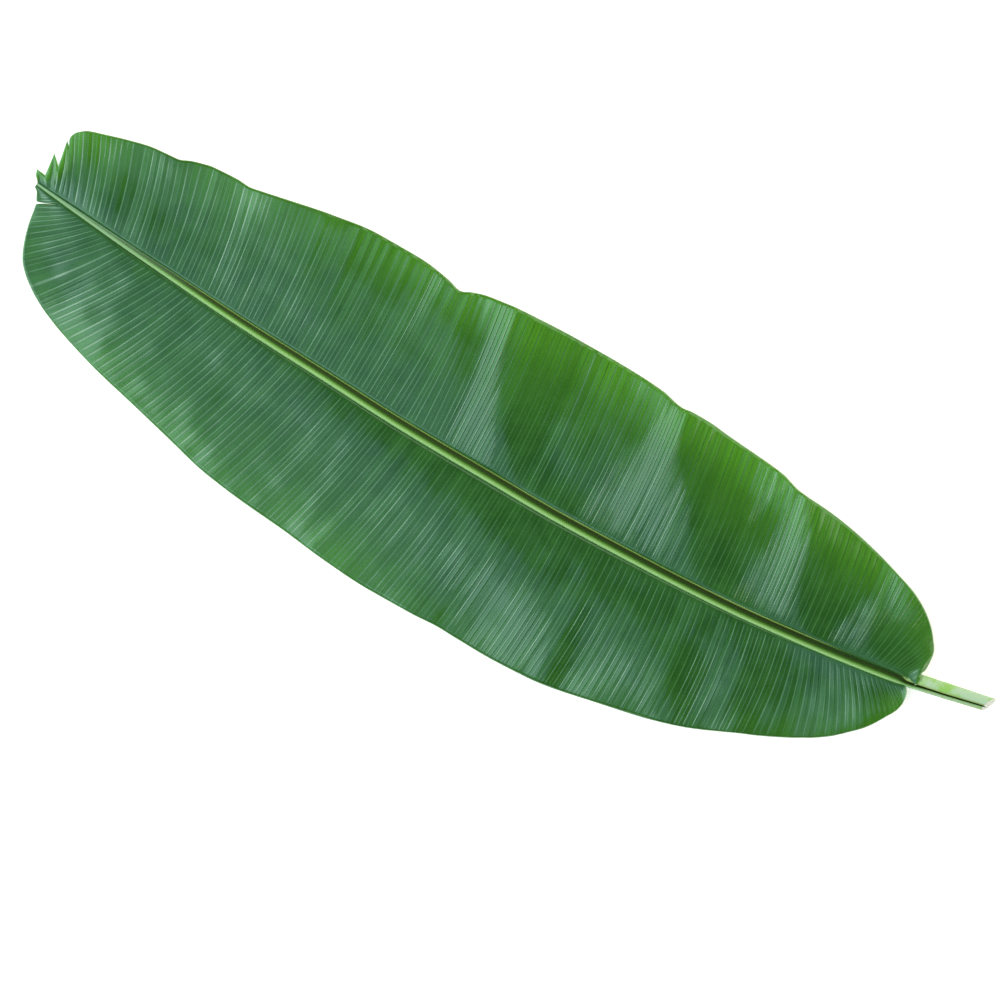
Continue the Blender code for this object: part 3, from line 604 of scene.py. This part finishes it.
def remap(tree, value, fromLow, fromHigh, toLow=0.0, toHigh=1.0, smooth=True):
    node = addNode(tree, "ShaderNodeMapRange", interpolation_type="SMOOTHSTEP" if smooth else "LINEAR")
    tree.links.new(value, node.inputs["Value"])
    for socket, number in zip(node.inputs[1:5], (fromLow, fromHigh, toLow, toHigh)):
        socket.default_value = number
    return node.outputs["Result"]


def mixColour(tree, share, first, second):
    node = addNode(tree, "ShaderNodeMix", data_type="RGBA")
    for i, value in ((0, share), (6, first), (7, second)):
        feed(tree, node.inputs[i], value)
    return node.outputs[2]


def noiseAt(tree, vector, scale, detail=2.0, roughness=0.5):
    node = addNode(tree, "ShaderNodeTexNoise", Scale=scale, Detail=detail, Roughness=roughness)
    tree.links.new(vector, node.inputs["Vector"])
    return node.outputs["Fac"]


def placeOnLeaf(tree):
    return addNode(tree, "ShaderNodeTexCoord").outputs["Object"]


def addBump(tree, shader, height, strength, distance=1.0):
    bump = addNode(tree, "ShaderNodeBump", Strength=strength, Distance=distance)
    tree.links.new(height, bump.inputs["Height"])
    tree.links.new(bump.outputs["Normal"], shader.inputs["Normal"])


def nodeGroup(name, inputs, outputs):
    group = bpy.data.node_groups.new(name, "ShaderNodeTree")
    for label, value in inputs:
        kind = "NodeSocketVector" if isinstance(value, tuple) else "NodeSocketFloat"
        group.interface.new_socket(name=label, in_out="INPUT", socket_type=kind).default_value = value
    for label in outputs:
        group.interface.new_socket(name=label, in_out="OUTPUT", socket_type="NodeSocketFloat")
    return group, group.nodes.new("NodeGroupInput"), group.nodes.new("NodeGroupOutput")


def placeGroup(tree, group, **links):
    node = addNode(tree, "ShaderNodeGroup")
    node.node_tree = group
    for key, value in links.items():
        feed(tree, node.inputs[key], value)
    return node


def veinLinesGroup():
    # side veins and the weaker veins halfway between them as lines of uneven strength, a tone for each
    # strip, and lines along and across the veins that are finer still
    group, start, end = nodeGroup("veinLines", (("vein", 0.0), ("fromRib", 0.0), ("width", 0.09)),
                                  ("line", "strip", "fine", "cross"))
    vein, fromRib, width = (start.outputs[key] for key in ("vein", "fromRib", "width"))
    doubled = mathStep(group, "MULTIPLY", vein, 2.0)
    nearest = mathStep(group, "ROUND", doubled)
    distance = mathStep(group, "ABSOLUTE", mathStep(group, "SUBTRACT", doubled, nearest))
    line = remap(group, mathStep(group, "DIVIDE", distance, width), 0.25, 1.0, 1.0, 0.0)
    chance = addNode(group, "ShaderNodeTexWhiteNoise", noise_dimensions="1D")
    group.links.new(nearest, chance.inputs["W"])
    uneven = remap(group, chance.outputs["Value"], 0.0, 1.0, 0.55, 1.0)
    weaker = remap(group, width, 0.17, 0.25, 0.36, 0.75)      # all the more where the veins stand close
    halfway = mathStep(group, "MULTIPLY", mathStep(group, "MODULO", nearest, 2.0), weaker)
    strength = mathStep(group, "SUBTRACT", uneven, halfway, clamp=True)
    stripChance = addNode(group, "ShaderNodeTexWhiteNoise", noise_dimensions="1D")
    group.links.new(mathStep(group, "FLOOR", doubled), stripChance.inputs["W"])
    inStrip = mathStep(group, "FRACT", mathStep(group, "MULTIPLY", vein, 6.0))
    fine = mathStep(group, "ABSOLUTE", mathStep(group, "SUBTRACT", inStrip, 0.5))
    crossPlace = addNode(group, "ShaderNodeCombineXYZ")
    group.links.new(mathStep(group, "MULTIPLY", vein, 0.5), crossPlace.inputs["X"])
    group.links.new(mathStep(group, "MULTIPLY", fromRib, 0.45), crossPlace.inputs["Y"])
    cross = noiseAt(group, crossPlace.outputs[0], 1.0)
    for label, socket in (("line", mathStep(group, "MULTIPLY", line, strength)), ("fine", fine),
                          ("strip", stripChance.outputs["Value"]), ("cross", cross)):
        group.links.new(socket, end.inputs[label])
    return group


def mottleGroup():
    # slow and fast changes of tone, in metres of the leaf
    group, start, end = nodeGroup("mottle", (("place", (0.0, 0.0, 0.0)),), ("slow", "patchy", "fine"))
    place = start.outputs["place"]
    group.links.new(noiseAt(group, place, 7.0), end.inputs["slow"])
    group.links.new(noiseAt(group, place, 38.0, 3.0, 0.55), end.inputs["patchy"])
    group.links.new(noiseAt(group, place, 850.0), end.inputs["fine"])
    return group


veinLines = veinLinesGroup()
mottle = mottleGroup()


def newMaterial(name, roughness):
    material = bpy.data.materials.new(name)
    material.use_nodes = True
    tree = material.node_tree
    shader = tree.nodes["Principled BSDF"]
    shader.inputs["Roughness"].default_value = roughness
    shader.inputs["Metallic"].default_value = 0.0
    return material, tree, shader


upperColours = {
    "deep": (0.018, 0.086, 0.014),
    "fresh": (0.026, 0.112, 0.019),
    "yellow": (0.055, 0.215, 0.013),
    "outer": (0.088, 0.320, 0.015),
    "besideRib": (0.034, 0.124, 0.022),
    "vein": (0.058, 0.200, 0.050),
    # painted shade in the veins' furrows, where the blade is yellow
    "furrowShade": (0.022, 0.105, 0.009),
    "edge": (0.30, 0.50, 0.22),
}

upperGloss = {
    "tint": (0.64, 0.98, 1.0),
    "specular": 0.66,
    "roughness": (0.17, 0.24),  # from patch to patch
    "coatIor": 1.9,             # the coat is the veins' own gloss
    "coatRoughness": 0.2,
    "coatOnVein": 0.95,
}

upperMarks = {
    "veinWidth": 1.75,          # width of a vein's line with its soft sides, in mm
    "veinCover": 0.85,
    "stripTones": (0.90, 1.10),
    "edgeLines": 2.33,          # radians to the mm: the lines along the edge are 2.7 mm apart
    "grainTones": (0.90, 1.10),
    "relief": 0.00003,          # height of the bumps, in metres
    "bump": 0.6,
}


def leafUpper():
    material, tree, shader = newMaterial("leafUpper", 0.2)
    shader.inputs["Specular Tint"].default_value = (*upperGloss["tint"], 1.0)
    shader.inputs["Specular IOR Level"].default_value = upperGloss["specular"]
    shader.inputs["Coat IOR"].default_value = upperGloss["coatIor"]
    shader.inputs["Coat Roughness"].default_value = upperGloss["coatRoughness"]
    vein, fromRib, fromEdge, yellowing, spacing = (
        readAttribute(tree, key) for key in ("vein", "fromRib", "fromEdge", "yellowing", "spacing"))
    width = mathStep(tree, "DIVIDE", upperMarks["veinWidth"], spacing)
    lines = placeGroup(tree, veinLines, vein=vein, fromRib=fromRib, width=width)
    spots = placeGroup(tree, mottle, place=placeOnLeaf(tree))

    colour = mixColour(tree, remap(tree, spots.outputs["patchy"], 0.30, 0.70), upperColours["deep"],
                       upperColours["fresh"])
    uneven = mathStep(tree, "MULTIPLY", yellowing, remap(tree, spots.outputs["slow"], 0.3, 0.7, 0.7, 1.2))
    colour = mixColour(tree, uneven, colour, upperColours["yellow"])
    outer = mathStep(tree, "MULTIPLY", uneven, remap(tree, fromEdge, 2.0, 60.0, 0.75, 0.0))
    colour = mixColour(tree, outer, colour, upperColours["outer"])
    colour = mixColour(tree, remap(tree, fromRib, 0.0, 7.0, 0.4, 0.0), colour, upperColours["besideRib"])

    # each strip has its own tone, lines along the edge show in the outermost part, and all is grainy
    strip = remap(tree, lines.outputs["strip"], 0.0, 1.0, *upperMarks["stripTones"], smooth=False)
    along = mathStep(tree, "SINE", mathStep(tree, "MULTIPLY", fromEdge, upperMarks["edgeLines"]))
    along = mathStep(tree, "MULTIPLY", along, remap(tree, fromEdge, 4.0, 32.0, 0.10, 0.0))
    tone = mathStep(tree, "ADD", strip, mathStep(tree, "MULTIPLY", along, yellowing))
    grain = remap(tree, spots.outputs["fine"], 0.3, 0.7, *upperMarks["grainTones"])
    tone = mathStep(tree, "MULTIPLY", tone, grain)
    shade = addNode(tree, "ShaderNodeVectorMath", operation="SCALE")
    tree.links.new(colour, shade.inputs[0])
    tree.links.new(tone, shade.inputs["Scale"])
    colour = shade.outputs[0]

    # veins are paler and glossier than the blade; where it is yellow they are painted dark, as shade in
    # furrows
    line = mathStep(tree, "MULTIPLY", lines.outputs["line"], remap(tree, fromRib, 3.0, 7.5, 0.0, 1.0))
    line = mathStep(tree, "MULTIPLY", line, remap(tree, fromEdge, 1.0, 10.0, 0.3, 1.0))
    veinColour = mixColour(tree, remap(tree, yellowing, 0.15, 0.6), upperColours["vein"],
                           upperColours["furrowShade"])
    cover = mathStep(tree, "MULTIPLY", line, upperMarks["veinCover"])
    colour = mixColour(tree, cover, colour, veinColour)
    colour = mixColour(tree, remap(tree, fromEdge, 0.2, 1.2, 0.85, 0.0), colour, upperColours["edge"])
    tree.links.new(colour, shader.inputs["Base Color"])
    coat = mathStep(tree, "MULTIPLY", line, upperGloss["coatOnVein"], clamp=True)
    tree.links.new(coat, shader.inputs["Coat Weight"])
    roughness = remap(tree, spots.outputs["patchy"], 0.25, 0.75, *upperGloss["roughness"])
    tree.links.new(roughness, shader.inputs["Roughness"])

    height = mathStep(tree, "MULTIPLY", lines.outputs["fine"], upperMarks["relief"])
    for bumps in (lines.outputs["cross"], spots.outputs["fine"]):
        height = mathStep(tree, "ADD", height, mathStep(tree, "MULTIPLY", bumps, upperMarks["relief"]))
    addBump(tree, shader, height, upperMarks["bump"])
    return material


underColours = {
    "pale": (0.11, 0.24, 0.085),
    "bloom": (0.17, 0.31, 0.15),
    "vein": (0.24, 0.40, 0.14),
    "rim": (0.24, 0.40, 0.15),
    "rimDry": (0.40, 0.46, 0.22),
}

underMarks = {
    "veinHalf": 0.22,           # half width of a vein's line, as a share of the way to the next one
    "veinCover": 0.8,
    "veinRelief": 0.0004,       # height of the veins, in metres
    "fineRelief": 0.00008,
    "bump": 0.8,
}


def leafUnder():
    material, tree, shader = newMaterial("leafUnder", 0.62)
    lines = placeGroup(tree, veinLines, vein=readAttribute(tree, "vein"), width=underMarks["veinHalf"])
    spots = placeGroup(tree, mottle, place=placeOnLeaf(tree))
    colour = mixColour(tree, remap(tree, spots.outputs["patchy"], 0.3, 0.7), underColours["pale"],
                       underColours["bloom"])
    cover = mathStep(tree, "MULTIPLY", lines.outputs["line"], underMarks["veinCover"])
    colour = mixColour(tree, cover, colour, underColours["vein"])
    tree.links.new(colour, shader.inputs["Base Color"])
    height = mathStep(tree, "MULTIPLY", lines.outputs["line"], underMarks["veinRelief"])
    finest = mathStep(tree, "MULTIPLY", lines.outputs["fine"], underMarks["fineRelief"])
    addBump(tree, shader, mathStep(tree, "ADD", height, finest), underMarks["bump"])
    return material


def leafRim():
    # the thin edge all round the blade
    material, tree, shader = newMaterial("leafRim", 0.6)
    spots = placeGroup(tree, mottle, place=placeOnLeaf(tree))
    colour = mixColour(tree, remap(tree, spots.outputs["patchy"], 0.3, 0.7), underColours["rim"],
                       underColours["rimDry"])
    tree.links.new(colour, shader.inputs["Base Color"])
    return material


ribColours = {
    "pale": (0.34, 0.61, 0.27),
    "bright": (0.42, 0.68, 0.36),
    "blade": (0.030, 0.115, 0.020),
    "tip": (0.27, 0.49, 0.28),
    "stalkPatch": (0.28, 0.56, 0.13),
    "stalkPale": (0.42, 0.62, 0.42),
    "stalkStreak": (0.30, 0.46, 0.10),
}

# colours across the channel, from the right rim to the left; the dark ones deep in the slot are painted
# shade
channelTonesAndShade = (
    (0.03, (0.24, 0.36, 0.08)),
    (0.09, (0.050, 0.090, 0.012)),
    (0.20, (0.028, 0.046, 0.006)),
    (0.33, (0.035, 0.070, 0.008)),
    (0.46, (0.060, 0.180, 0.022)),
    (0.64, (0.150, 0.390, 0.070)),
    (0.78, (0.270, 0.550, 0.180)),
    (0.91, (0.330, 0.610, 0.280)),
    (1.00, (0.170, 0.390, 0.110)),
)

ribFinish = {
    "specular": 0.3,
    "roughness": (0.42, 0.80),  # on the ridge, deep in the channel
    "fibres": (14.0, 900.0, 900.0),  # how dense the fibres are along, across and through
    "fibreRelief": 0.0003,      # their height, in metres
    "bump": 0.35,
    "stalkLook": (-548.0, -540.0),  # x where the stalk's look ends, in mm
    "tipLook": (330.0, 500.0),  # x where the tip's look sets in
}


def ribSkin():
    material, tree, shader = newMaterial("ribSkin", 0.42)
    shader.inputs["Specular IOR Level"].default_value = ribFinish["specular"]
    place = placeOnLeaf(tree)
    stretch = addNode(tree, "ShaderNodeMapping", Scale=ribFinish["fibres"])
    tree.links.new(place, stretch.inputs["Vector"])
    fibres = noiseAt(tree, stretch.outputs["Vector"], 1.0, 3.0, 0.6)
    spots = placeGroup(tree, mottle, place=place)
    inSlot, onTop, across, along, green = (
        readAttribute(tree, key) for key in ("inSlot", "onTop", "acrossTop", "along", "green"))

    colour = mixColour(tree, remap(tree, fibres, 0.35, 0.65), ribColours["pale"], ribColours["bright"])
    # the stalk is paler, with yellow-green patches
    onStalk = remap(tree, along, *ribFinish["stalkLook"], 1.0, 0.0)
    patches = mixColour(tree, remap(tree, spots.outputs["patchy"], 0.46, 0.60), ribColours["stalkPale"],
                        ribColours["stalkPatch"])
    streaks = mixColour(tree, remap(tree, fibres, 0.44, 0.56), ribColours["stalkPale"],
                        ribColours["stalkStreak"])
    below = mathStep(tree, "SUBTRACT", 1.0, onTop)
    flank = mathStep(tree, "MULTIPLY", remap(tree, across, 0.4, 0.6), below)
    colour = mixColour(tree, onStalk, colour, mixColour(tree, flank, patches, streaks))
    # the channel's colours across the top, with painted shade deep in the slot
    channel = addNode(tree, "ShaderNodeValToRGB")
    tree.links.new(across, channel.inputs[0])
    stops = channel.color_ramp.elements
    while len(stops) < len(channelTonesAndShade):
        stops.new(0.5)
    for stop, (position, tone) in zip(stops, channelTonesAndShade):
        stop.position, stop.color = position, (*tone, 1.0)
    colour = mixColour(tree, onTop, colour, channel.outputs["Color"])
    # towards the tip the pale look covers the slot less, so its painted shade stays there
    atTip = mathStep(tree, "MULTIPLY", remap(tree, along, *ribFinish["tipLook"], 0.0, 0.95),
                     remap(tree, inSlot, 0.15, 0.50, 1.0, 0.35))
    colour = mixColour(tree, atTip, colour, ribColours["tip"])
    colour = mixColour(tree, green, colour, ribColours["blade"])
    tree.links.new(colour, shader.inputs["Base Color"])
    roughness = remap(tree, inSlot, 0.25, 0.90, *ribFinish["roughness"])
    tree.links.new(roughness, shader.inputs["Roughness"])
    addBump(tree, shader, fibres, ribFinish["bump"], ribFinish["fibreRelief"])
    return material


pithColours = {
    "wall": (0.97, 0.99, 0.98),
    "hole": (0.84, 0.90, 0.82),
}

pithFinish = {
    "cells": 520.0,             # air channels to the metre
    "wallWidth": (0.02, 0.16),  # where a wall starts to fade and where it ends
    "relief": 0.0004,           # height of the walls, in metres
    "bump": 0.9,
}


def cutPith():
    # the spongy cut end of the stalk, with its rows of air channels
    material, tree, shader = newMaterial("cutPith", 0.55)
    cells = addNode(tree, "ShaderNodeTexVoronoi", feature="DISTANCE_TO_EDGE", Scale=pithFinish["cells"])
    tree.links.new(placeOnLeaf(tree), cells.inputs["Vector"])
    walls = remap(tree, cells.outputs["Distance"], *pithFinish["wallWidth"], 1.0, 0.0)
    colour = mixColour(tree, walls, pithColours["hole"], pithColours["wall"])
    tree.links.new(colour, shader.inputs["Base Color"])
    addBump(tree, shader, walls, pithFinish["bump"], pithFinish["relief"])
    return material


def joinLeaf(piece, skins):
    for skin in skins:
        piece.data.materials.append(skin)
    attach(piece, "root")
    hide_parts("banana_leaf")
    print(piece.name, "made")


bladeSkins = (leafUpper(), leafUnder(), leafRim())
midribSkins = (ribSkin(), cutPith())
print("materials made")

for half in (rightHalf, leftHalf):
    joinLeaf(bladeSheet(half), bladeSkins)
joinLeaf(midribPiece(), midribSkins)


# floor, lights and camera

studio = {
    "floorSize": 9.0,
    "floorColour": (0.80, 0.80, 0.80),
    "floorGlow": 0.60,          # a white table lit from below, as for a picture with no shadow
    "floorLevel": -0.0003,      # just under the leaf, so that the two never coincide
    "fieldWidth": 1.104,        # width that the photo shows at the leaf
    "fieldCentre": (-0.0407, 0.0167),
    "leafTurn": 151.17,         # direction of the tip in the photo, in degrees
    "cameraHeight": 6.0,
    "worldColour": (0.95, 0.98, 1.0),
    "worldStrength": 0.03,
}

# direction in the photo (degrees, anticlockwise from the right), angle from straight up, distance,
# size across and along that direction, power, colour
lights = {
    "skyLight": (196.2, 34.0, 6.4, (11.0, 10.4), 306.0, (0.66, 0.80, 1.0)),
    "windowLight": (176.0, 45.0, 6.4, (9.0, 7.4), 460.0, (0.94, 1.0, 0.90)),
    "warmFill": (20.0, 64.0, 6.0, (10.0, 6.4), 440.0, (1.0, 0.88, 0.66)),
}


def makeFloor():
    bm = bmesh.new()
    bmesh.ops.create_grid(bm, x_segments=1, y_segments=1, size=studio["floorSize"] / 2)
    floor = newPiece("floor", bm)
    floor.location.z = studio["floorLevel"]
    material, tree, shader = newMaterial("floorPaper", 0.9)
    shader.inputs["Base Color"].default_value = (*studio["floorColour"], 1.0)
    shader.inputs["Specular IOR Level"].default_value = 0.0
    shader.inputs["Emission Color"].default_value = (1.0, 1.0, 1.0, 1.0)
    shader.inputs["Emission Strength"].default_value = studio["floorGlow"]
    floor.data.materials.append(material)


def makeLight(name, direction, lean, distance, size, power, colour):
    light = bpy.data.lights.new(name, "AREA")
    light.shape = "RECTANGLE"
    light.size, light.size_y = size
    light.energy = power
    light.color = colour
    lamp = bpy.data.objects.new(name, light)
    turn = math.radians(direction - studio["leafTurn"])
    tilt = math.radians(lean)
    towards = Vector((math.sin(tilt) * math.cos(turn), math.sin(tilt) * math.sin(turn), math.cos(tilt)))
    lamp.location = towards * distance
    lamp.rotation_euler = (tilt, 0.0, turn + math.pi / 2)
    bpy.context.scene.collection.objects.link(lamp)


def makeCamera():
    lens = bpy.data.cameras.new("camera")
    lens.sensor_width = 36.0
    lens.lens = lens.sensor_width * studio["cameraHeight"] / studio["fieldWidth"]
    camera = bpy.data.objects.new("camera", lens)
    camera.location = (*studio["fieldCentre"], studio["cameraHeight"])
    camera.rotation_euler = (0.0, 0.0, -math.radians(studio["leafTurn"]))
    bpy.context.scene.collection.objects.link(camera)
    bpy.context.scene.camera = camera


makeFloor()
for name, values in lights.items():
    makeLight(name, *values)
makeCamera()
world = bpy.data.worlds.new("sky")
world.use_nodes = True
world.node_tree.nodes["Background"].inputs["Color"].default_value = (*studio["worldColour"], 1.0)
world.node_tree.nodes["Background"].inputs["Strength"].default_value = studio["worldStrength"]
bpy.context.scene.world = world
bpy.context.scene.view_settings.view_transform = "Standard"
print("stage made")
